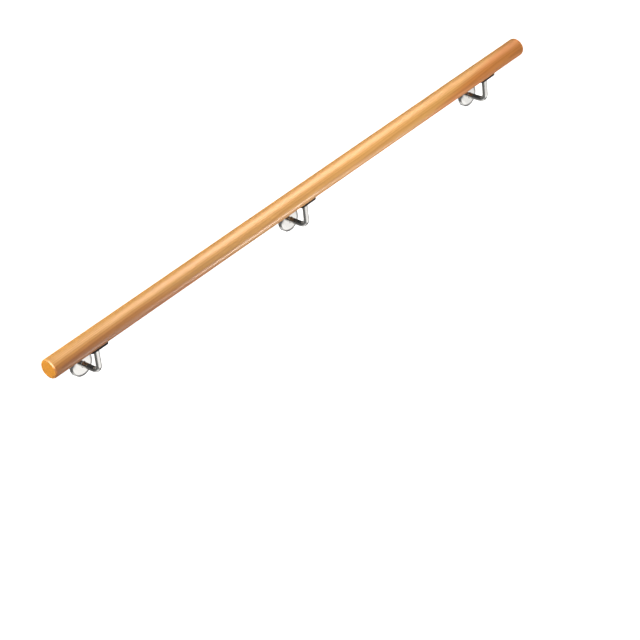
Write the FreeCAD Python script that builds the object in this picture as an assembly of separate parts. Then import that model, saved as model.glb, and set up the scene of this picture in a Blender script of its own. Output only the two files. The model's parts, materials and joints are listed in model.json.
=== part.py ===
import FreeCAD, Part
import math
import os

Vector = FreeCAD.Vector

# Stair handrail: a round wooden rail on three bent-rod wall brackets, drawn as it hangs on the wall.
# Millimetres. X runs along the rail to its lower end, Y out of the wall, Z square to the rail and up,
# with the wall at y = 0 and the arms of the brackets at z = 0. At the end the whole rail is laid down on
# a floor, as it rests when nothing holds it.

# Rail
rail_length = 1500.0
rail_diameter = 42.0
rail_end_rounding = 5.0

# Where the brackets stand and how they hold the rail
bracket_inset = 125.0       # from each end of the rail to the nearest bracket
wall_to_rail_axis = 57.0
arm_to_rail_axis = 78.0

# Wall plate: a thick turned disc with a tapped hole for the stud in the wall
plate_diameter = 54.0
plate_thickness = 12.0
plate_front_rounding = 4.0
stud_hole_diameter = 6.8    # tapping size of an M8 thread
stud_hole_depth = 8.0

# Arm: a round rod, bent once, welded to the plate and to the saddle
rod_diameter = 12.0
rod_bend_radius = 16.0      # at the middle of the rod

# Saddle: a strip rolled to the rail's radius
saddle_length = 43.0
saddle_width = 28.0
saddle_thickness = 4.0
saddle_corner_radius = 5.0
saddle_offset = 2.5         # its middle stands this far past the arm, towards the rail's upper end

# Screws that hold the saddle to the rail
screw_end_distance = 7.0    # from each end of the saddle to the nearer screw
screw_length = 25.0         # under the head
screw_diameter = 4.5
screw_tip_length = 5.0
screw_head_diameter = 8.0
screw_head_height = 2.6
screw_hole_clearance = 0.5  # on the diameter of the hole in the saddle
screw_seat_margin = 0.5     # on the diameter of the flat under the head

rail_radius = rail_diameter / 2
plate_radius = plate_diameter / 2
rod_radius = rod_diameter / 2
saddle_outer_radius = rail_radius + saddle_thickness
rail_axis = Vector(0, wall_to_rail_axis, arm_to_rail_axis)
along = Vector(1, 0, 0)
outward = Vector(0, 1, 0)
upward = Vector(0, 0, 1)

end_bracket_x = rail_length / 2 - bracket_inset
brackets = {"lower": end_bracket_x, "middle": 0.0, "upper": -end_bracket_x}

# The flat under a screw head is cut as deep as the saddle curves away under the head's edge.
screw_seat_radius = (screw_head_diameter + screw_seat_margin) / 2
screw_seat_drop = saddle_outer_radius - math.sqrt(saddle_outer_radius ** 2 - screw_seat_radius ** 2)
screw_seat_z = arm_to_rail_axis - saddle_outer_radius + screw_seat_drop


def screw_places(bracket_x):
    """The x of the two screws of one bracket."""
    middle = bracket_x - saddle_offset
    half_spacing = saddle_length / 2 - screw_end_distance
    return [middle + half_spacing, middle - half_spacing]


def turned(outline, axis_point, axis):
    """A solid turned about an axis from a closed half outline of edges."""
    face = Part.Face(Part.Wire(outline))
    return face.revolve(axis_point, axis, 360)


def make_screw(x):
    """Pan-head wood screw that points up into the rail, as one turned solid."""
    seat = Vector(x, wall_to_rail_axis, screw_seat_z)
    head_radius = screw_head_diameter / 2
    shank_radius = screw_diameter / 2
    shank_end = screw_length - screw_tip_length
    crown_radius = (head_radius ** 2 + screw_head_height ** 2) / (2 * screw_head_height)
    crown_angle = math.asin(head_radius / crown_radius) / 2
    crown = Vector(
        crown_radius * math.sin(crown_angle), 0,
        crown_radius - screw_head_height - crown_radius * math.cos(crown_angle),
    )
    bottom = Vector(0, 0, -screw_head_height)
    rim = Vector(head_radius, 0, 0)
    corners = [
        rim,
        Vector(shank_radius, 0, 0),
        Vector(shank_radius, 0, shank_end),
        Vector(0, 0, screw_length),
        bottom,
    ]
    edges = [Part.makeLine(a, b) for a, b in zip(corners, corners[1:])]
    edges.append(Part.Arc(bottom, crown, rim).toShape())
    screw = turned(edges, Vector(0, 0, 0), upward)
    screw.translate(seat)
    return screw


def make_saddle(bracket_x):
    """Strip rolled to the rail, with a clearance hole and a flat seat for each screw."""
    start = rail_axis + along * (bracket_x - saddle_offset - saddle_length / 2)
    strip = Part.makeCylinder(saddle_outer_radius, saddle_length, start, along)
    strip = strip.cut(Part.makeCylinder(rail_radius, saddle_length, start, along))
    blank = Part.makeBox(
        saddle_length, saddle_width, saddle_outer_radius,
        start - outward * (saddle_width / 2) - upward * saddle_outer_radius,
    )
    corners = [
        edge for edge in blank.Edges
        if edge.BoundBox.XLength < 1e-6 and edge.BoundBox.YLength < 1e-6
    ]
    saddle = strip.common(blank.makeFillet(saddle_corner_radius, corners))
    for x in screw_places(bracket_x):
        seat = Vector(x, wall_to_rail_axis, screw_seat_z)
        hole_radius = (screw_diameter + screw_hole_clearance) / 2
        saddle = saddle.cut(Part.makeCylinder(hole_radius, rail_radius, seat, upward))
        saddle = saddle.cut(Part.makeCylinder(screw_seat_radius, saddle_thickness, seat, -upward))
    return saddle.Solids[0]


def make_arm(bracket_x):
    """Rod from the wall plate, bent up to the rail and coped to the underside of the saddle."""
    root = Vector(bracket_x, plate_thickness, 0)
    bend_middle = Vector(bracket_x, wall_to_rail_axis - rod_bend_radius, rod_bend_radius)
    bend_start = bend_middle - upward * rod_bend_radius
    bend_end = bend_middle + outward * rod_bend_radius
    bend_half = bend_middle + (outward - upward) * (rod_bend_radius / math.sqrt(2))
    top = rail_axis + along * bracket_x
    path = Part.Wire([
        Part.makeLine(root, bend_start),
        Part.Arc(bend_start, bend_half, bend_end).toShape(),
        Part.makeLine(bend_end, top),
    ])
    section = Part.Wire(Part.makeCircle(rod_radius, root, outward))
    rod = path.makePipeShell([section], True, False)
    cope_start = top - along * rod_diameter
    cope = Part.makeCylinder(saddle_outer_radius, 2 * rod_diameter, cope_start, along)
    return rod.cut(cope).Solids[0]


def make_wall_plate(bracket_x):
    """Turned disc, rounded at the front, with a blind tapped hole in its back."""
    middle = Vector(bracket_x, 0, 0)
    disc = Part.makeCylinder(plate_radius, plate_thickness, middle, outward)
    front_edges = [edge for edge in disc.Edges if edge.BoundBox.YMin > plate_thickness / 2]
    disc = disc.makeFillet(plate_front_rounding, front_edges)
    stud_hole = Part.makeCylinder(stud_hole_diameter / 2, stud_hole_depth, middle, outward)
    return disc.cut(stud_hole).Solids[0]


def make_rail(screws):
    """Round bar with rounded end edges and the holes that the screws have cut."""
    start = rail_axis - along * (rail_length / 2)
    bar = Part.makeCylinder(rail_radius, rail_length, start, along)
    end_edges = [edge for edge in bar.Edges if edge.BoundBox.XLength < rail_length / 2]
    bar = bar.makeFillet(rail_end_rounding, end_edges)
    return bar.cut(Part.makeCompound(screws)).Solids[0]


def lay_down(shape):
    """Turns a piece from the wall to the floor, where the rail and the plates' upper rims touch.

    The origin is on the floor, under the middle of the whole rail.
    """
    rise = arm_to_rail_axis - plate_radius
    lean = math.atan2(rise, wall_to_rail_axis) + math.asin(rail_radius / math.hypot(rise, wall_to_rail_axis))
    front = -wall_to_rail_axis * math.cos(lean) - arm_to_rail_axis * math.sin(lean) - rail_radius
    back = plate_radius * math.sin(lean)
    floor = -plate_radius * math.cos(lean)
    laid = shape.copy()
    laid.rotate(Vector(0, 0, 0), along, 180 - math.degrees(lean))
    laid.translate(Vector(0, -(front + back) / 2, -floor))
    return laid


def make_pieces():
    """Every piece by its name, as it hangs on the wall."""
    pieces = {}
    screws = []
    for place, bracket_x in brackets.items():
        pieces["wall_plate_" + place] = make_wall_plate(bracket_x)
        pieces["bracket_arm_" + place] = make_arm(bracket_x)
        pieces["saddle_" + place] = make_saddle(bracket_x)
        for number, x in enumerate(screw_places(bracket_x), start=1):
            screw = make_screw(x)
            screws.append(screw)
            pieces["saddle_screw_" + place + "_" + str(number)] = screw
    pieces["handrail"] = make_rail(screws)
    return pieces


os.makedirs("parts", exist_ok=True)
for name, piece in make_pieces().items():
    lay_down(piece).exportStep("parts/" + name + ".step")
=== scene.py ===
import bmesh
import bpy
import json
import math
from mathutils import Matrix, Vector


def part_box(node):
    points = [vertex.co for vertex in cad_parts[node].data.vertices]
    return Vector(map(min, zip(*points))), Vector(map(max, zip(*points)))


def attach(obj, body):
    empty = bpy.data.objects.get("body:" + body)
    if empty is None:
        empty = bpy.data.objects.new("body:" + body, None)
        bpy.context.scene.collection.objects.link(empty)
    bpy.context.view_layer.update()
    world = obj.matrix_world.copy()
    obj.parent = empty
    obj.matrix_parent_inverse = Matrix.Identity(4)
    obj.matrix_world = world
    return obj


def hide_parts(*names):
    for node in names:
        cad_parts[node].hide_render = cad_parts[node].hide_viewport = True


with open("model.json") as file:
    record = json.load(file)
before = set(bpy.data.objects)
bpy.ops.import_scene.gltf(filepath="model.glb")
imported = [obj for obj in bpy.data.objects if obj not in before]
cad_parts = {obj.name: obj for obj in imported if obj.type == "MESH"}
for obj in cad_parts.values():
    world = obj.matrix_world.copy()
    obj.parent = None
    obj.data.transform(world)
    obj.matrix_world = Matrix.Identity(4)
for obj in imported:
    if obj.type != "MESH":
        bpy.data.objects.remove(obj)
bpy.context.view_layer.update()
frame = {"record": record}

bl_info = {
    "name": "Stair handrail",
    "version": (1, 0, 0),
    "blender": (4, 5, 0),
    "location": "3D View > Sidebar > Handrail",
    "description": "Dresses a round wooden stair handrail and its bent-rod wall brackets",
    "category": "Object",
}

MM = 0.001
BODY = "root"
PLACES = ("lower", "middle", "upper")
SCREW_NUMBERS = ("1", "2")
ALONG = Vector((1, 0, 0))
UP = Vector((0, 0, 1))
QUARTER_TURN = math.pi / 2
FULL_TURN = 2 * math.pi

# Sockets of the Mix node by number, because those for numbers and for colours bear the same names
MIX_FACTOR = 0
MIX_NUMBER_A, MIX_NUMBER_B, MIX_NUMBER_OUT = 2, 3, 0
MIX_A, MIX_B, MIX_OUT = 6, 7, 2

# How finely each shape is divided, round it and along it
RAIL_SIDES, RAIL_STEPS, RAIL_EDGE_STEPS = 128, 72, 8
PLATE_SIDES, PLATE_EDGE_STEPS, STUD_THREAD_STEPS = 96, 10, 44
ROD_SIDES, ROD_ARM_STEPS, ROD_BEND_STEPS, ROD_UPRIGHT_STEPS, WELD_STEPS = 64, 6, 20, 8, 6
SADDLE_WIDTH_STEPS, SADDLE_LENGTH_STEPS, SADDLE_CORNER_STEPS = 24, 20, 9
SCREW_SIDES, SCREW_HEAD_STEPS, SCREW_SHANK_STEPS = 64, 34, 96
HOLE_SIDES = 48
FLOOR_SIDES = 64

# Shares of the radius at which rings divide the flat faces
RAIL_END_SHARES = (0.25, 0.5, 0.75)
PLATE_FRONT_SHARES = (0.5, 0.25)
PLATE_BACK_SHARE = 0.6
STUD_HOLE_BOTTOM_SHARE = 0.5

SHARP_EDGE = math.radians(30)   # faces that meet at more than this keep a sharp edge
SADDLE_CORNER_START = 0.4       # angle in radians where a corner's rings start, past the broken edge
SCREW_CREST = 0.22              # half the share of a turn that the screw's thread takes
SCREW_BLUNTING = 0.1 * MM       # radius of the innermost ring of the head, and what the point lacks

# Cutters are long enough to pass right through the saddle.
HOLE_REACH = 20 * MM
SEAT_REACH = 10 * MM

# The floor in metres, as the radius and height of its rings: level, then rising all round
FLOOR_PROFILE = ((0.0, 0.0), (60.0, 0.0), (120.0, 0.0), (140.0, 4.0), (155.0, 20.0), (160.0, 60.0))

SENSOR_WIDTH = 36.0             # millimetres
CLIP_END = 1000.0               # metres
CEILING_STRENGTH = 0.4
CEILING_SPREAD = math.radians(100)

# Lamps stand in the middle bracket's axes, as if the rail hung on the wall: X to the rail's lower end, Y out
# of the wall, Z up. Each has its name, place and aim, width and height in metres, and power in watts.
# Soft lamps light the wood and aren't mirrored.
SOFT_LAMPS = (
    ("light_over_rail", (-0.05, -0.35, 1.1), (-0.05, 0.057, 0.078), (1.5, 0.8), 10.5),
    ("light_in_front", (-0.22, 0.87, 0.355), (-0.22, 0.057, 0.078), (0.8, 0.7), 6.4),
    ("light_near_lower_end", (1.0, 0.1, 0.75), (0.72, 0.057, 0.078), (0.35, 0.35), 3.0),
    ("light_at_lower_end", (2.0, -0.1, 0.25), (0.75, 0.057, 0.078), (0.5, 0.5), 15.0),
    ("light_at_upper_end", (-2.0, 0.057, 0.078), (-0.75, 0.057, 0.078), (0.4, 0.4), 16.0),
    ("light_behind", (0.0, -0.3, -1.1), (0.0, 0.057, 0.078), (1.6, 0.5), 8.0),
)
# Sheen lamps are only mirrored, and by the rail alone: they draw the light streaks on its lacquer.
SHEEN_LAMPS = (
    ("sheen_over_rail", (-0.85, 0.15, 1.28), (-0.85, 0.15, 0.078), (1.2, 1.1), 64.0),
    ("sheen_under_lower_half", (-0.66, 0.82, -0.76), (-0.66, 0.82, 0.078), (0.46, 0.4), 20.0),
    ("sheen_under_lower_end", (-0.02, 0.6, -0.92), (-0.02, 0.6, 0.078), (0.2, 0.5), 3.6),
    ("sheen_under_upper_half", (-1.24, 0.6, -0.92), (-1.24, 0.6, 0.078), (0.4, 0.5), 2.4),
    ("sheen_at_lower_end", (1.728, 0.2, 0.765), (0.75, 0.057, 0.078), (1.0, 1.0), 110.0),
)


def linear(code):
    """A colour in linear light from its sRGB hex code."""
    shares = [int(code[i:i + 2], 16) / 255 for i in (1, 3, 5)]
    return tuple(s / 12.92 if s <= 0.04045 else ((s + 0.055) / 1.055) ** 2.4 for s in shares)


def length(name, default_mm, description):
    """A size property, in metres, from its size in millimetres."""
    return bpy.props.FloatProperty(
        name=name, description=description, default=default_mm * MM, min=0, unit="LENGTH", precision=5)


def colour(name, code, description):
    """A colour property from its sRGB hex code."""
    return bpy.props.FloatVectorProperty(
        name=name, description=description, default=linear(code), min=0, max=1, size=3, subtype="COLOR")


def angle(name, default_degrees, description):
    """An angle property, in radians, from its size in degrees."""
    return bpy.props.FloatProperty(
        name=name, description=description, default=math.radians(default_degrees), subtype="ANGLE")


class HandrailSizes(bpy.types.PropertyGroup):
    """Sizes of the dressed pieces"""

    rail_diameter: length("Rail diameter", 42.0, "Thickness of the round rail")
    rail_end_rounding: length("Rail end rounding", 5.0, "Radius on the edge of each end")
    plate_thickness: length("Plate thickness", 12.0, "From the wall to the front of a wall plate")
    plate_rounding_depth: length("Plate rounding depth", 4.0, "How far a plate's front edge falls back")
    plate_rounding_width: length("Plate rounding width", 9.5, "How far that rounding reaches in over the face")
    edge_break: length("Broken edge", 0.35, "Chamfer that takes the burr off a cut steel edge")
    thread_depth: length("Stud thread depth", 0.6, "How deep the stud's thread is cut in the hole's wall")
    thread_pitch: length("Stud thread pitch", 1.25, "From one turn of the stud's thread to the next")
    rod_diameter: length("Rod diameter", 12.0, "Thickness of the bent rod")
    rod_bend_radius: length("Bend radius", 16.0, "Radius of the bend at the middle of the rod")
    weld_leg: length("Weld leg", 1.2, "Leg of the smoothed fillet weld at each end of the rod")
    saddle_width: length("Saddle width", 28.0, "Width of the strip under the rail")
    saddle_thickness: length("Saddle thickness", 4.0, "Thickness of the strip under the rail")
    saddle_corner: length("Saddle corner", 5.0, "Radius of the strip's corners")
    screw_diameter: length("Screw diameter", 4.5, "Over the thread of a wood screw")
    screw_length: length("Screw length", 25.0, "From the seat to the point of a wood screw")
    screw_core: length("Screw core", 2.9, "Under the thread of a wood screw")
    screw_pitch: length("Screw pitch", 2.0, "From one turn of the wood screw's thread to the next")
    screw_plain: length("Plain shank", 5.0, "From the seat to the start of the wood screw's thread")
    screw_tip: length("Screw tip", 5.0, "Length of the wood screw's point")
    screw_head_height: length("Screw head height", 2.6, "From the seat to the crown of a screw head")
    screw_clearance: length("Screw clearance", 0.25, "Room round a screw and round its head in the strip")
    recess_depth: length("Recess depth", 1.5, "Depth of the cross recess in a screw head")
    recess_arm: length("Recess arm", 2.3, "From the middle of a cross recess to the end of one arm")
    recess_half_width: length("Recess half width", 0.55, "Half the width of an arm of the cross recess")
    recess_wall: length("Recess wall", 0.18, "How far the walls of the cross recess lean")


class HandrailColours(bpy.types.PropertyGroup):
    """Colours of the materials"""

    wood_light: colour("Pale wood", "#E9AB58", "Early wood of the rail")
    wood_dark: colour("Dark wood", "#D79444", "Late wood of the rail")
    wood_fleck: colour("Flecks", "#B06A2E", "Short dark rays in the wood")
    wood_end: colour("End grain", "#F0A43C", "Sawn ends of the rail")
    wood_end_dark: colour("Dark end grain", "#BF7522", "Late wood on the sawn ends")
    # Painted shade: the amber tint reddens the wood on the front of the lower end and all the upper end.
    wood_shade_tint: colour("Amber", "#F8D8BE", "Tint of the redder heartwood")
    steel: colour("Stainless steel", "#E4E2DE", "Wall plates and bent rods")
    # Painted shade: the saddles are drawn near black, for the shade they lie in under the rail.
    dark_shade: colour("Saddle coating", "#1C1814", "Black coat on the saddles")
    screw: colour("Screw steel", "#B9B5AC", "Wood screws")
    floor: colour("Floor", "#FAFAF9", "Pale floor")


class HandrailStage(bpy.types.PropertyGroup):
    """Where the camera stands"""

    azimuth: angle("Azimuth", 38.165, "Where the camera stands round the rail")
    elevation: angle("Elevation", 11.01, "How far the camera looks down")
    roll: angle("Roll", -134.802, "Turn of the picture about its middle")
    distance: bpy.props.FloatProperty(
        name="Distance", description="From the camera to its aim", default=5.045, unit="LENGTH")
    aim: bpy.props.FloatVectorProperty(
        name="Aim", description="Point in the middle of the picture", default=(0.10244, 0.08217, 0.22614),
        subtype="TRANSLATION", unit="LENGTH")
    lens: bpy.props.FloatProperty(
        name="Lens", description="Focal length on a 36 mm sensor", default=136.954, unit="CAMERA")


def add_node(tree, kind, sockets=None, **settings):
    """Adds a shader node, with its settings, and its sockets set to values or linked to outputs."""
    node = tree.nodes.new("ShaderNode" + kind)
    for name, value in settings.items():
        setattr(node, name, value)
    for socket, value in (sockets or {}).items():
        if isinstance(value, bpy.types.NodeSocket):
            tree.links.new(value, node.inputs[socket])
        else:
            node.inputs[socket].default_value = value
    return node


def new_material(name):
    """An empty node material, and its tree."""
    material = bpy.data.materials.new(name)
    material.use_nodes = True
    material.node_tree.nodes.clear()
    return material, material.node_tree


def rgba(value):
    """A colour property as the four numbers of a colour socket."""
    return (*value, 1.0)


def grain_scale(along_mm, across_mm):
    """The scale of a pattern whose marks are this long along the rail and this wide across it."""
    return Vector((1 / (along_mm * MM), 1 / (across_mm * MM), 1 / (across_mm * MM)))


def growth_rings(tree, centred):
    """How late in its year's growth the wood is, from 0 to 1, in rings round the pith of the log."""
    # The pith runs 70 mm beside the rail and slowly crosses it, so the rings run out along the length.
    pith_offset = Vector((0.0, 45 * MM, -55 * MM))
    pith_slope = (0.0, math.radians(0.3), math.radians(0.4))
    ring_width = 3.2 * MM
    log = add_node(tree, "Mapping", {"Vector": centred, "Location": pith_offset, "Rotation": pith_slope})

    # The rings sway by up to 9 mm, over some 450 mm along the log and 55 mm across it.
    sway = 9 * MM
    wander = add_node(tree, "Mapping", {"Vector": log.outputs["Vector"], "Scale": grain_scale(455, 55.5)})
    wobble = add_node(tree, "TexNoise", {
        "Vector": wander.outputs["Vector"], "Scale": 1.0, "Detail": 2.0, "Roughness": 0.5})
    across = add_node(tree, "VectorMath", {0: log.outputs["Vector"], 1: (0.0, 1.0, 1.0)}, operation="MULTIPLY")
    radius = add_node(tree, "VectorMath", {0: across.outputs["Vector"]}, operation="LENGTH")
    swayed = add_node(tree, "Math", {
        0: wobble.outputs["Fac"], 1: sway, 2: radius.outputs["Value"]}, operation="MULTIPLY_ADD")
    rings = add_node(tree, "Math", {0: swayed.outputs["Value"], 1: ring_width}, operation="DIVIDE")
    ring = add_node(tree, "Math", {0: rings.outputs["Value"]}, operation="FRACT")
    late = add_node(tree, "MapRange", {
        "Value": ring.outputs["Value"], "From Min": 0.25, "From Max": 1.0}, interpolation_type="SMOOTHERSTEP")
    return late.outputs["Result"]


def streaks(tree, centred, along_mm, across_mm, **sockets):
    """Noise drawn out along the rail, in marks of these sizes."""
    drawn_out = add_node(tree, "Mapping", {"Vector": centred, "Scale": grain_scale(along_mm, across_mm)})
    noise = add_node(tree, "TexNoise", {"Vector": drawn_out.outputs["Vector"], "Scale": 1.0, **sockets})
    return noise.outputs["Fac"]


def painted_shade(tree, centred, radius_of_rail):
    """How far the wood takes a redder tint, painted shade: on the front of the lower end, and all the upper
    end.
    """
    # As the rail lies on the floor, the side with the painted shade looks up and a little towards the wall
    # plates.
    shaded_side = Vector((0.0, 0.2208, 0.9753))
    side = add_node(tree, "VectorMath", {
        0: centred, 1: shaded_side / radius_of_rail}, operation="DOT_PRODUCT")
    along = add_node(tree, "SeparateXYZ", {"Vector": centred})
    at_lower = add_node(tree, "MapRange", {
        "Value": along.outputs["X"], "From Min": 200 * MM, "From Max": 500 * MM, "To Min": -1.0, "To Max": 0.0})
    at_upper = add_node(tree, "MapRange", {
        "Value": along.outputs["X"], "From Min": -350 * MM, "From Max": -700 * MM, "To Max": 2.0})
    depth = add_node(tree, "Math", {
        0: at_lower.outputs["Result"], 1: at_upper.outputs["Result"]}, operation="ADD")
    inside = add_node(tree, "Math", {0: side.outputs["Value"], 1: depth.outputs["Value"]}, operation="ADD")
    shaded = add_node(tree, "MapRange", {
        "Value": inside.outputs["Value"], "From Min": -0.25, "From Max": 0.6}, interpolation_type="SMOOTHSTEP")
    return shaded.outputs["Result"]


def sawn_ends(tree):
    """1 on the flat ends of the rail, 0 on its side."""
    shape = add_node(tree, "NewGeometry")
    facing = add_node(tree, "SeparateXYZ", {"Vector": shape.outputs["Normal"]})
    endwise = add_node(tree, "Math", {0: facing.outputs["X"]}, operation="ABSOLUTE")
    flat = add_node(tree, "MapRange", {"Value": endwise.outputs["Value"], "From Min": 0.6, "From Max": 0.95})
    return flat.outputs["Result"]


def lacquered_beech(colours, axis_point, radius_of_rail):
    """Steamed beech, moulded round, sanded and sprayed with clear satin lacquer.

    Steaming gives it its warm tone, sanding a close grain of soft rings and short dark rays, and the lacquer
    a broad, soft streak of light.
    """
    material, tree = new_material("lacquered_beech")
    place = add_node(tree, "TexCoord")
    centre = add_node(tree, "Mapping", {
        "Vector": place.outputs["Object"], "Location": -axis_point}, vector_type="POINT")
    centred = centre.outputs["Vector"]

    # Fibres are finer than the picture shows, so the streaks are drawn 1.5 mm wide and 90 mm long. Rays show as
    # dashes about 3 mm long and 0.5 mm wide. The tone drifts over a few hundred millimetres, as it does from
    # board to board.
    late = growth_rings(tree, centred)
    fibre = streaks(tree, centred, 90, 1.5, Detail=3.0, Roughness=0.6)
    ray = streaks(tree, centred, 3.2, 0.55, Detail=1.0)
    drift = streaks(tree, centred, 240, 60, Detail=1.0)
    fibre_share, drift_share = 0.45, 0.6        # how much each darkens the wood beside the rings
    tone = add_node(tree, "Math", {0: fibre, 1: fibre_share, 2: late}, operation="MULTIPLY_ADD")
    shade = add_node(tree, "Math", {
        0: drift, 1: drift_share, 2: tone.outputs["Value"]}, operation="MULTIPLY_ADD")
    darkness = add_node(tree, "MapRange", {"Value": shade.outputs["Value"], "From Min": 0.3, "From Max": 1.7})
    fleck = add_node(tree, "MapRange", {"Value": ray, "From Min": 0.62, "From Max": 0.74, "To Max": 0.3})
    grain = add_node(tree, "Mix", {
        MIX_FACTOR: darkness.outputs["Result"], MIX_A: rgba(colours.wood_light), MIX_B: rgba(colours.wood_dark),
    }, data_type="RGBA")
    flecked = add_node(tree, "Mix", {
        MIX_FACTOR: fleck.outputs["Result"], MIX_A: grain.outputs[MIX_OUT], MIX_B: rgba(colours.wood_fleck),
    }, data_type="RGBA")
    # Painted shade: a redder tint multiplied onto the front of the lower end and all the upper end.
    shade_tinted = add_node(tree, "Mix", {
        MIX_FACTOR: painted_shade(tree, centred, radius_of_rail),
        MIX_A: flecked.outputs[MIX_OUT], MIX_B: rgba(colours.wood_shade_tint),
    }, data_type="RGBA", blend_type="MULTIPLY")

    # The sawn ends drink more lacquer, so they stay golden and shine a little more than the side.
    flat_end = sawn_ends(tree)
    golden = add_node(tree, "Mix", {
        MIX_FACTOR: late, MIX_A: rgba(colours.wood_end), MIX_B: rgba(colours.wood_end_dark),
    }, data_type="RGBA")
    base = add_node(tree, "Mix", {
        MIX_FACTOR: flat_end, MIX_A: shade_tinted.outputs[MIX_OUT], MIX_B: golden.outputs[MIX_OUT],
    }, data_type="RGBA")
    satin = add_node(tree, "MapRange", {
        "Value": fibre, "From Min": 0.3, "From Max": 0.7, "To Min": 0.5, "To Max": 0.6})
    gloss = add_node(tree, "Mix", {
        MIX_FACTOR: flat_end, MIX_NUMBER_A: satin.outputs["Result"], MIX_NUMBER_B: 0.35})
    relief = add_node(tree, "Bump", {"Height": fibre, "Strength": 0.12, "Distance": 0.05 * MM})
    surface = add_node(tree, "BsdfPrincipled", {
        "Base Color": base.outputs[MIX_OUT], "Roughness": gloss.outputs[MIX_NUMBER_OUT],
        "IOR": 1.5, "Specular IOR Level": 0.3, "Coat Weight": 0.15, "Coat Roughness": 0.25, "Coat IOR": 1.5,
        "Normal": relief.outputs["Normal"]})
    add_node(tree, "OutputMaterial", {"Surface": surface.outputs["BSDF"]})
    return material


def polished_stainless(name, value, roughness, along_mm, across_mm):
    """Stainless steel, ground and then polished on a wheel.

    It mirrors its surroundings in bright and dark bands, which the lines left by the wheel soften. Those lines
    are finer than 0.1 mm: they are drawn coarser, in marks of these sizes, to show at all.
    """
    material, tree = new_material(name)
    place = add_node(tree, "TexCoord")
    line = streaks(tree, place.outputs["Object"], along_mm, across_mm, Detail=2.0, Roughness=0.6)
    smoothest, roughest, darkest = 0.85, 1.2, 0.93      # what the lines make of the polish and the colour
    gloss = add_node(tree, "MapRange", {
        "Value": line, "From Min": 0.3, "From Max": 0.7,
        "To Min": roughness * smoothest, "To Max": roughness * roughest})
    tint = add_node(tree, "Mix", {
        MIX_FACTOR: line, MIX_A: rgba(value), MIX_B: rgba(value * darkest)}, data_type="RGBA")
    relief = add_node(tree, "Bump", {"Height": line, "Strength": 0.05, "Distance": 0.02 * MM})
    surface = add_node(tree, "BsdfPrincipled", {
        "Base Color": tint.outputs[MIX_OUT], "Metallic": 1.0, "Roughness": gloss.outputs["Result"],
        "Normal": relief.outputs["Normal"]})
    add_node(tree, "OutputMaterial", {"Surface": surface.outputs["BSDF"]})
    return material


def near_black_shade(colours):
    """Saddle strips drawn matt and near black: painted shade, the dark they show in shade under the rail.

    The surface has a fine orange-peel skin with bumps of 0.6 mm.
    """
    material, tree = new_material("near_black_shade")
    place = add_node(tree, "TexCoord")
    peel = add_node(tree, "TexNoise", {
        "Vector": place.outputs["Object"], "Scale": 1 / (0.6 * MM), "Detail": 1.0})
    relief = add_node(tree, "Bump", {
        "Height": peel.outputs["Fac"], "Strength": 0.1, "Distance": 0.03 * MM})
    surface = add_node(tree, "BsdfPrincipled", {
        "Base Color": rgba(colours.dark_shade), "Roughness": 0.55, "Specular IOR Level": 0.3,
        "Normal": relief.outputs["Normal"]})
    add_node(tree, "OutputMaterial", {"Surface": surface.outputs["BSDF"]})
    return material


def white_acrylic(colours):
    """Matt white acrylic sheet, lit from below as a shooting table is, so that it is even and shadowless."""
    material, tree = new_material("white_acrylic_floor")
    surface = add_node(tree, "BsdfPrincipled", {
        "Base Color": rgba(colours.floor), "Roughness": 0.9, "Specular IOR Level": 0.0,
        "Emission Color": rgba(colours.floor), "Emission Strength": 1.0})
    add_node(tree, "OutputMaterial", {"Surface": surface.outputs["BSDF"]})
    return material


def mount(name):
    """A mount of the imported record, by its name."""
    return next(entry for entry in frame["record"]["mounts"] if entry["name"] == name)


def bracket_axes(place):
    """Matrix of a bracket's own axes: X along the rail, Y out of the wall, Z up to the rail."""
    hole = mount("stud_hole_" + place)
    outward = -Vector(hole["axis"]).normalized()
    mouth = Vector(hole["pos_m"]) - outward * (hole["dims"]["length_mm"] * MM / 2)
    turn = Matrix((ALONG, outward, ALONG.cross(outward))).transposed()
    return Matrix.Translation(mouth) @ turn.to_4x4()


def rail_axis(sizes):
    """The middle of the rail, which lies on the floor at the front of the frame's box."""
    low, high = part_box("handrail")
    radius = sizes.rail_diameter / 2
    return Vector(((low.x + high.x) / 2, low.y + radius, radius))


def spread(start, end, steps):
    """Evenly spaced values from start to end, both included."""
    return [start + (end - start) * i / steps for i in range(steps + 1)]


def circle(count):
    """Angles once round, the first not repeated."""
    return [FULL_TURN * i / count for i in range(count)]


def skin(rings):
    """Points and faces of a closed tube through rings of equally many points, with a fan over each end."""
    count = len(rings[0])
    points = [Vector(point) for ring in rings for point in ring]
    faces = []
    for base in range(0, len(points) - count, count):
        for i in range(count):
            j = (i + 1) % count
            faces.append((base + i, base + j, base + count + j, base + count + i))
    for base in (0, len(points) - count):
        middle = sum(points[base:base + count], Vector()) / count
        points.append(middle)
        faces += [(base + i, base + (i + 1) % count, len(points) - 1) for i in range(count)]
    return points, faces


def round_sheet(name, profile):
    """A round open sheet from the radius and height of each ring, its middle first."""
    angles = circle(FLOOR_SIDES)
    rings = [[Vector((r * math.cos(a), r * math.sin(a), z)) for a in angles] for r, z in profile[1:]]
    points = [Vector((0, 0, profile[0][1]))] + [point for ring in rings for point in ring]
    count = len(angles)
    faces = [(0, 1 + i, 1 + (i + 1) % count) for i in range(count)]
    for base in range(1, len(points) - count, count):
        for i in range(count):
            j = (i + 1) % count
            faces.append((base + i, base + count + i, base + count + j, base + j))
    mesh = bpy.data.meshes.new(name)
    mesh.from_pydata(points, [], faces)
    mesh.shade_smooth()
    return mesh


def closed_mesh(name, points, faces, axes=Matrix()):
    """A mesh with its faces turned outward, placed by a bracket's axes."""
    mesh = bpy.data.meshes.new(name)
    mesh.from_pydata([axes @ point for point in points], [], faces)
    shape = bmesh.new()
    shape.from_mesh(mesh)
    bmesh.ops.recalc_face_normals(shape, faces=shape.faces)
    shape.to_mesh(mesh)
    shape.free()
    return mesh


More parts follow.
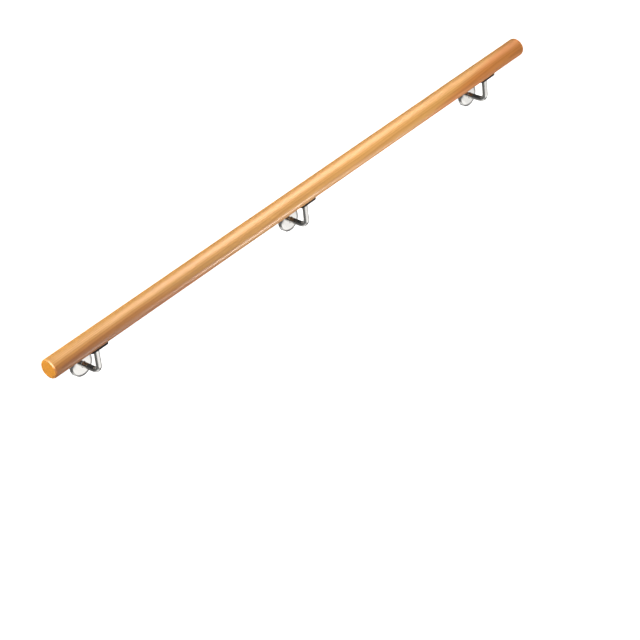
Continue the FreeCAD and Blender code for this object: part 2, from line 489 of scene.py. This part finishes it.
def add_piece(name, mesh, material, node):
    """Shows a mesh in place of a node of the frame, smooth but for its sharp edges."""
    mesh.materials.clear()
    mesh.materials.append(material)
    mesh.shade_smooth()
    mesh.set_sharp_from_angle(angle=SHARP_EDGE)
    piece = bpy.data.objects.new(name, mesh)
    bpy.context.scene.collection.objects.link(piece)
    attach(piece, BODY)
    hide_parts(node)


def rail_rings(sizes):
    """Rings along the rail: flat end, rounded edge, straight run, rounded edge, flat end."""
    low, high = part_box("handrail")
    middle = rail_axis(sizes)
    radius = sizes.rail_diameter / 2
    rounding = sizes.rail_end_rounding
    half = (high.x - low.x) / 2
    end = [(half, share * (radius - rounding)) for share in RAIL_END_SHARES]
    for turn in spread(0, QUARTER_TURN, RAIL_EDGE_STEPS):
        end.append((half - rounding * (1 - math.cos(turn)), radius - rounding * (1 - math.sin(turn))))
    run = [(x, radius) for x in spread(half - rounding, rounding - half, RAIL_STEPS)[1:-1]]
    profile = end + run + [(-x, r) for x, r in reversed(end)]
    return [
        [middle + Vector((x, r * math.cos(a), r * math.sin(a))) for a in circle(RAIL_SIDES)]
        for x, r in profile
    ]


def plate_rings(sizes, place):
    """Rings of a wall plate from the bottom of its tapped hole, round its rim, to its front."""
    low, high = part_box("wall_plate_" + place)
    radius = (high.x - low.x) / 2
    hole = mount("stud_hole_" + place)["dims"]
    bore = hole["r_mm"] * MM
    depth = hole["length_mm"] * MM
    pitch = sizes.thread_pitch
    angles = circle(PLATE_SIDES)

    def ring(y, r):
        return [Vector((r * math.cos(a), y, r * math.sin(a))) for a in angles]

    def thread_ring(y):
        """One section of the thread, which fades out at the bottom of the hole."""
        fade = min(1.0, (depth - y) / pitch)
        points = []
        for a in angles:
            height = abs((y / pitch + a / FULL_TURN) % 1.0 - 0.5) * 2
            r = bore + sizes.thread_depth * height * fade
            points.append(Vector((r * math.cos(a), y, r * math.sin(a))))
        return points

    mouth = sizes.thread_depth
    rings = [ring(depth, bore * STUD_HOLE_BOTTOM_SHARE), ring(depth, bore)]
    rings += [thread_ring(y) for y in spread(depth - pitch / 4, mouth, STUD_THREAD_STEPS)]
    rings += [ring(0, bore + mouth), ring(0, radius * PLATE_BACK_SHARE), ring(0, radius - sizes.edge_break)]
    rings.append(ring(sizes.edge_break, radius))
    for turn in spread(0, QUARTER_TURN, PLATE_EDGE_STEPS):
        y = sizes.plate_thickness - sizes.plate_rounding_depth * (1 - math.sin(turn))
        rings.append(ring(y, radius - sizes.plate_rounding_width * (1 - math.cos(turn))))
    rings += [ring(sizes.plate_thickness, radius * share) for share in PLATE_FRONT_SHARES]
    return rings


def rod_rings(sizes, axes):
    """Rings along a bent rod, from the wall plate to the saddle, with a smoothed weld at each end."""
    rod = sizes.rod_diameter / 2
    bend = sizes.rod_bend_radius
    leg = sizes.weld_leg
    rail = axes.inverted() @ rail_axis(sizes)
    cup = sizes.rail_diameter / 2 + sizes.saddle_thickness
    angles = circle(ROD_SIDES)

    def weld(gap):
        """How much thicker the rod is, this far from the face that it is welded to."""
        return leg - math.sqrt(leg ** 2 - (leg - gap) ** 2) if gap < leg else 0.0

    def ring(y, z, slope, r):
        """One section of the rod, which runs up at this slope."""
        across = Vector((0, math.sin(slope), -math.cos(slope)))
        return [Vector((0, y, z)) + ALONG * (r * math.cos(a)) + across * (r * math.sin(a)) for a in angles]

    def coped_ring(gap):
        """The edge of the rod, this far below the curved underside of the saddle."""
        r = rod + weld(gap)
        return [
            Vector((r * math.cos(a), rail.y + r * math.sin(a),
                    rail.z - math.sqrt(cup ** 2 - (r * math.sin(a)) ** 2) - gap))
            for a in angles
        ]

    front = sizes.plate_thickness
    rings = [ring(front + gap, 0, 0, rod + weld(gap)) for gap in spread(0, leg, WELD_STEPS)]
    rings += [ring(y, 0, 0, rod) for y in spread(front + leg, rail.y - bend, ROD_ARM_STEPS)[1:]]
    for slope in spread(0, QUARTER_TURN, ROD_BEND_STEPS)[1:]:
        y = rail.y - bend + bend * math.sin(slope)
        rings.append(ring(y, bend - bend * math.cos(slope), slope, rod))
    top = rail.z - cup - 3 * leg        # clear of the lowest point of the coped rings
    rings += [ring(rail.y, z, QUARTER_TURN, rod) for z in spread(bend, top, ROD_UPRIGHT_STEPS)[1:]]
    rings += [coped_ring(gap) for gap in spread(leg, 0, WELD_STEPS)]
    return rings


def saddle_rings(sizes, place, axes):
    """Rings along a saddle: a rolled strip with rounded corners and broken edges."""
    low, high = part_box("saddle_" + place)
    rail = axes.inverted() @ rail_axis(sizes)
    start, end = low.x - axes.translation.x, high.x - axes.translation.x
    inner = sizes.rail_diameter / 2
    outer = inner + sizes.saddle_thickness
    corner = sizes.saddle_corner
    edge = sizes.edge_break

    def ring(x, half, trim):
        """One section of the strip, this wide to each side, with trim taken off its faces."""
        shape = [(y, outer - trim) for y in spread(edge - half, half - edge, SADDLE_WIDTH_STEPS)]
        shape += [(half, outer - edge), (half, inner + edge)]
        shape += [(y, inner + trim) for y in spread(half - edge, edge - half, SADDLE_WIDTH_STEPS)]
        shape += [(-half, inner + edge), (-half, outer - edge)]
        return [Vector((x, rail.y + y, rail.z - math.sqrt(r ** 2 - y ** 2))) for y, r in shape]

    def half_width(inset):
        """Half the strip's width, this far from its nearer end."""
        reach = max(0.0, corner - inset)
        return sizes.saddle_width / 2 - corner + math.sqrt(corner ** 2 - reach ** 2)

    turns = spread(SADDLE_CORNER_START, QUARTER_TURN, SADDLE_CORNER_STEPS)
    insets = [edge] + [corner * (1 - math.cos(turn)) for turn in turns]
    head = [ring(start, half_width(0), edge)] + [ring(start + i, half_width(i), 0) for i in insets]
    tail = [ring(end - i, half_width(i), 0) for i in reversed(insets)] + [ring(end, half_width(0), edge)]
    middles = spread(start + corner, end - corner, SADDLE_LENGTH_STEPS)[1:-1]
    return head + [ring(x, sizes.saddle_width / 2, 0) for x in middles] + tail


def drill(mesh, holes, axes):
    """The mesh with round holes cut in it, each a middle, a radius and a height in a bracket's axes."""
    blank = bpy.data.objects.new("blank", mesh)
    bpy.context.scene.collection.objects.link(blank)
    cutters = []
    for number, (middle, radius, height) in enumerate(holes):
        rings = [
            [middle + Vector((radius * math.cos(a), radius * math.sin(a), z)) for a in circle(HOLE_SIDES)]
            for z in (0, height)
        ]
        cutter = bpy.data.objects.new("cutter", closed_mesh("cutter", *skin(rings), axes))
        bpy.context.scene.collection.objects.link(cutter)
        cut = blank.modifiers.new("hole_" + str(number), "BOOLEAN")
        cut.operation = "DIFFERENCE"
        cut.solver = "EXACT"
        cut.object = cutter
        cutters.append(cutter)
    graph = bpy.context.evaluated_depsgraph_get()
    drilled = bpy.data.meshes.new_from_object(blank.evaluated_get(graph))
    for tool in [blank] + cutters:
        bpy.data.objects.remove(tool)
    return drilled


def screw_seat(sizes, node, axes):
    """The middle of a screw's seat, and the radius of its head, in a bracket's axes."""
    low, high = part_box(node)
    rail = axes.inverted() @ rail_axis(sizes)
    radius = (high.x - low.x) / 2
    cup = sizes.rail_diameter / 2 + sizes.saddle_thickness
    z = rail.z - math.sqrt(cup ** 2 - (radius + sizes.screw_clearance) ** 2)
    return Vector(((low.x + high.x) / 2 - axes.translation.x, rail.y, z)), radius


def screw_rings(sizes, seat, radius):
    """Rings of a wood screw from the cross recess in its head, over the rim and up the thread to the point."""
    angles = circle(SCREW_SIDES)
    reach = sizes.screw_length
    dome = (radius ** 2 + sizes.screw_head_height ** 2) / (2 * sizes.screw_head_height)
    core = sizes.screw_core / 2

    def ease(value):
        """From 0 at the top of the recess's wall to 1 at its foot."""
        share = min(1.0, max(0.0, value / sizes.recess_wall))
        return share * share * (3 - 2 * share)

    def recess(x, y):
        """How deep the cross recess is here: deepest in the middle, half as deep at the ends of its arms."""
        arms = []
        for u, v in ((abs(x), abs(y)), (abs(y), abs(x))):
            inside = ease(sizes.recess_half_width - v) * ease(sizes.recess_arm - u)
            arms.append(inside * (1 - u / (2 * sizes.recess_arm)))
        return sizes.recess_depth * max(arms)

    def head_ring(r):
        crown = math.sqrt(dome ** 2 - r ** 2) - (dome - sizes.screw_head_height)
        points = [(r * math.cos(a), r * math.sin(a)) for a in angles]
        return [seat + Vector((x, y, recess(x, y) - crown)) for x, y in points]

    def shank_ring(z):
        point = min(1.0, (reach - z) / sizes.screw_tip)
        start = min(1.0, max(0.0, (z - sizes.screw_plain) / sizes.screw_pitch))
        ring = []
        for a in angles:
            phase = (z / sizes.screw_pitch - a / FULL_TURN) % 1.0
            crest = max(0.0, 1 - abs(phase - 0.5) / SCREW_CREST)
            r = (core + (sizes.screw_diameter / 2 - core) * crest * start) * point
            ring.append(seat + Vector((r * math.cos(a), r * math.sin(a), z)))
        return ring

    rings = [head_ring(r) for r in spread(SCREW_BLUNTING, radius, SCREW_HEAD_STEPS)]
    rings += [shank_ring(z) for z in spread(0, reach - SCREW_BLUNTING, SCREW_SHANK_STEPS)]
    return rings


class HANDRAIL_OT_rail(bpy.types.Operator):
    """Make the lacquered wooden rail"""

    bl_idname = "handrail.rail"
    bl_label = "Wooden rail"

    def execute(self, context):
        sizes = context.scene.handrail_sizes
        wood = lacquered_beech(context.scene.handrail_colours, rail_axis(sizes), sizes.rail_diameter / 2)
        mesh = closed_mesh("rail", *skin(rail_rings(sizes)))
        add_piece("rail", mesh, wood, "handrail")
        return {"FINISHED"}


class HANDRAIL_OT_plates(bpy.types.Operator):
    """Make the wall plates, each with a tapped hole in its back"""

    bl_idname = "handrail.plates"
    bl_label = "Wall plates"

    def execute(self, context):
        sizes = context.scene.handrail_sizes
        value = Vector(context.scene.handrail_colours.steel)
        ground = polished_stainless("ground_stainless", value, roughness=0.13, along_mm=3.33, across_mm=0.4)
        for place in PLACES:
            plate = closed_mesh("plate_" + place, *skin(plate_rings(sizes, place)), bracket_axes(place))
            add_piece("plate_" + place, plate, ground, "wall_plate_" + place)
        return {"FINISHED"}


class HANDRAIL_OT_rods(bpy.types.Operator):
    """Make the bent rods, welded to the plates and to the saddles"""

    bl_idname = "handrail.rods"
    bl_label = "Bent rods"

    def execute(self, context):
        sizes = context.scene.handrail_sizes
        value = Vector(context.scene.handrail_colours.steel)
        polished = polished_stainless("polished_stainless", value, roughness=0.2, along_mm=1.11, across_mm=1.11)
        for place in PLACES:
            axes = bracket_axes(place)
            rod = closed_mesh("rod_" + place, *skin(rod_rings(sizes, axes)), axes)
            add_piece("rod_" + place, rod, polished, "bracket_arm_" + place)
        return {"FINISHED"}


class HANDRAIL_OT_saddles(bpy.types.Operator):
    """Make the black saddle strips, with a hole and a flat seat for each screw"""

    bl_idname = "handrail.saddles"
    bl_label = "Saddles"

    def execute(self, context):
        sizes = context.scene.handrail_sizes
        # Painted shade: the strips are near black, for the shade under the rail.
        saddle_shade = near_black_shade(context.scene.handrail_colours)
        hole = sizes.screw_diameter / 2 + sizes.screw_clearance
        for place in PLACES:
            axes = bracket_axes(place)
            strip = closed_mesh("strip_" + place, *skin(saddle_rings(sizes, place, axes)), axes)
            holes = []
            for number in SCREW_NUMBERS:
                seat, head = screw_seat(sizes, "saddle_screw_" + place + "_" + number, axes)
                holes.append((seat, hole, HOLE_REACH))
                holes.append((seat - UP * SEAT_REACH, head + sizes.screw_clearance, SEAT_REACH))
            drilled = drill(strip, holes, axes)
            add_piece("strip_" + place, drilled, saddle_shade, "saddle_" + place)
        return {"FINISHED"}


class HANDRAIL_OT_screws(bpy.types.Operator):
    """Make the wood screws that hold the saddles to the rail"""

    bl_idname = "handrail.screws"
    bl_label = "Saddle screws"

    def execute(self, context):
        sizes = context.scene.handrail_sizes
        value = Vector(context.scene.handrail_colours.screw)
        steel = polished_stainless("screw_steel", value, roughness=0.25, along_mm=0.667, across_mm=0.667)
        for place in PLACES:
            axes = bracket_axes(place)
            for number in SCREW_NUMBERS:
                name = "screw_" + place + "_" + number
                seat, radius = screw_seat(sizes, "saddle_" + name, axes)
                mesh = closed_mesh(name, *skin(screw_rings(sizes, seat, radius)), axes)
                add_piece(name, mesh, steel, "saddle_" + name)
        return {"FINISHED"}


class HANDRAIL_OT_stage(bpy.types.Operator):
    """Make the pale floor, the soft light and the camera"""

    bl_idname = "handrail.stage"
    bl_label = "Stage"

    def execute(self, context):
        scene = context.scene
        scene.view_settings.view_transform = "Standard"
        self.lay_floor(scene)
        self.light_world(scene)
        self.hang_lamps(scene)
        self.place_camera(scene)
        return {"FINISHED"}

    def lay_floor(self, scene):
        """A pale floor that rises all round to a seamless back, and that neither steel nor lacquer mirrors."""
        mesh = round_sheet("floor", FLOOR_PROFILE)
        mesh.materials.append(white_acrylic(scene.handrail_colours))
        floor = bpy.data.objects.new("floor", mesh)
        scene.collection.objects.link(floor)
        floor.visible_shadow = False
        floor.visible_glossy = False
        floor.visible_diffuse = False

    def light_world(self, scene):
        """Soft fields of light on a dark surround, which only the gloss of the pieces mirrors.

        The main one is a white dome, low in front of the wall. Lesser ones lie behind the wall, over the rail,
        below it, and below and past its ends.
        """
        axes = bracket_axes("middle").to_3x3()
        world = bpy.data.worlds.new("studio")
        world.use_nodes = True
        tree = world.node_tree
        tree.nodes.clear()
        place = add_node(tree, "TexCoord")

        def field(towards, start, full, least, most):
            """Light that grows with how far a direction points this way, in the bracket's axes."""
            facing = add_node(tree, "VectorMath", {
                0: place.outputs["Generated"], 1: axes @ Vector(towards)}, operation="DOT_PRODUCT")
            return add_node(tree, "MapRange", {
                "Value": facing.outputs["Value"], "From Min": start, "From Max": full,
                "To Min": least, "To Max": most}, interpolation_type="SMOOTHSTEP").outputs["Result"]

        front = field((-0.35, 0.75, -0.56), -0.1, 0.7, 0.0, 1.5)
        low = field((0.0, 0.0, -1.0), 0.15, 0.58, 0.0, 1.0)
        open_side = field((0.0, 1.0, 0.0), 0.41, 0.54, 0.1, 1.0)
        behind = field((0.0, -1.0, 0.0), 0.85, 0.95, 0.05, 0.35)
        over = field((0.0, 0.95, 0.31), 0.8, 0.97, 0.0, 0.6)
        below = field((0.15, -0.2, -0.97), 0.85, 0.95, 0.0, 0.9)
        below_end = field((0.85, -0.1, -0.5), 0.5, 0.95, 0.0, 0.16)
        upper_end = field((-0.9, 0.1, -0.43), 0.85, 0.97, 0.0, 0.3)
        low_front = add_node(tree, "Math", {0: front, 1: low}, operation="MULTIPLY")
        dome = add_node(tree, "Math", {0: low_front.outputs["Value"], 1: open_side}, operation="MULTIPLY")
        total = dome.outputs["Value"]
        for light in (behind, over, below, below_end, upper_end):
            total = add_node(tree, "Math", {0: total, 1: light}, operation="ADD").outputs["Value"]
        sky = add_node(tree, "Background", {"Strength": total})
        add_node(tree, "OutputWorld", {"Surface": sky.outputs["Background"]})
        scene.world = world
        world.cycles_visibility.diffuse = False

    def hang_lamps(self, scene):
        """Soft boxes round the rail and a weak, even light from the ceiling."""
        wood = bpy.data.collections.new("wood")
        wood.objects.link(bpy.data.objects["rail"])
        for lamp in SOFT_LAMPS:
            self.hang_lamp(scene, *lamp).visible_glossy = False
        for lamp in SHEEN_LAMPS:
            box = self.hang_lamp(scene, *lamp)
            box.visible_diffuse = False
            box.light_linking.receiver_collection = wood
        light = bpy.data.lights.new("soft_ceiling", "SUN")
        light.energy = CEILING_STRENGTH
        light.angle = CEILING_SPREAD
        ceiling = bpy.data.objects.new("soft_ceiling", light)
        ceiling.visible_glossy = False
        scene.collection.objects.link(ceiling)

    def hang_lamp(self, scene, name, place, aim, size, power):
        """One soft box, turned to its aim."""
        axes = bracket_axes("middle")
        light = bpy.data.lights.new(name, "AREA")
        light.shape = "RECTANGLE"
        light.size, light.size_y = size
        light.energy = power
        lamp = bpy.data.objects.new(name, light)
        lamp.location = axes @ Vector(place)
        lamp.rotation_euler = (axes @ Vector(aim) - lamp.location).to_track_quat("-Z", "Y").to_euler()
        scene.collection.objects.link(lamp)
        return lamp

    def place_camera(self, scene):
        """The camera, turned about its own line of sight by the roll."""
        stage = scene.handrail_stage
        level = math.cos(stage.elevation)
        back = Vector((
            math.sin(stage.azimuth) * level, -math.cos(stage.azimuth) * level, math.sin(stage.elevation)))
        right = UP.cross(back).normalized()
        up = back.cross(right)
        turned_right = right * math.cos(stage.roll) - up * math.sin(stage.roll)
        turned_up = up * math.cos(stage.roll) + right * math.sin(stage.roll)
        lens = bpy.data.cameras.new("camera")
        lens.sensor_width = SENSOR_WIDTH
        lens.lens = stage.lens
        lens.clip_end = CLIP_END
        camera = bpy.data.objects.new("camera", lens)
        turn = Matrix((turned_right, turned_up, back)).transposed().to_4x4()
        camera.matrix_world = Matrix.Translation(Vector(stage.aim) + back * stage.distance) @ turn
        scene.collection.objects.link(camera)
        scene.camera = camera


class VIEW3D_PT_handrail(bpy.types.Panel):
    """Sizes, colours and steps of the handrail"""

    bl_label = "Handrail"
    bl_space_type = "VIEW_3D"
    bl_region_type = "UI"
    bl_category = "Handrail"

    def draw(self, context):
        scene = context.scene
        for group in (scene.handrail_sizes, scene.handrail_colours, scene.handrail_stage):
            box = self.layout.box()
            for name in group.bl_rna.properties.keys():
                if name not in {"rna_type", "name"}:
                    box.prop(group, name)
        for operator in OPERATORS:
            self.layout.operator(operator.bl_idname)


OPERATORS = (
    HANDRAIL_OT_rail, HANDRAIL_OT_plates, HANDRAIL_OT_rods, HANDRAIL_OT_saddles, HANDRAIL_OT_screws,
    HANDRAIL_OT_stage,
)
CLASSES = (HandrailSizes, HandrailColours, HandrailStage, *OPERATORS, VIEW3D_PT_handrail)


def register():
    """Adds the classes and their settings to Blender."""
    for item in CLASSES:
        bpy.utils.register_class(item)
    bpy.types.Scene.handrail_sizes = bpy.props.PointerProperty(type=HandrailSizes)
    bpy.types.Scene.handrail_colours = bpy.props.PointerProperty(type=HandrailColours)
    bpy.types.Scene.handrail_stage = bpy.props.PointerProperty(type=HandrailStage)


def unregister():
    """Takes them out again."""
    del bpy.types.Scene.handrail_stage
    del bpy.types.Scene.handrail_colours
    del bpy.types.Scene.handrail_sizes
    for item in reversed(CLASSES):
        bpy.utils.unregister_class(item)


def main():
    """Dresses the frame piece by piece."""
    register()
    bpy.ops.handrail.rail()
    bpy.ops.handrail.plates()
    bpy.ops.handrail.rods()
    bpy.ops.handrail.saddles()
    bpy.ops.handrail.screws()
    bpy.ops.handrail.stage()


if __name__ == "__main__":
    main()
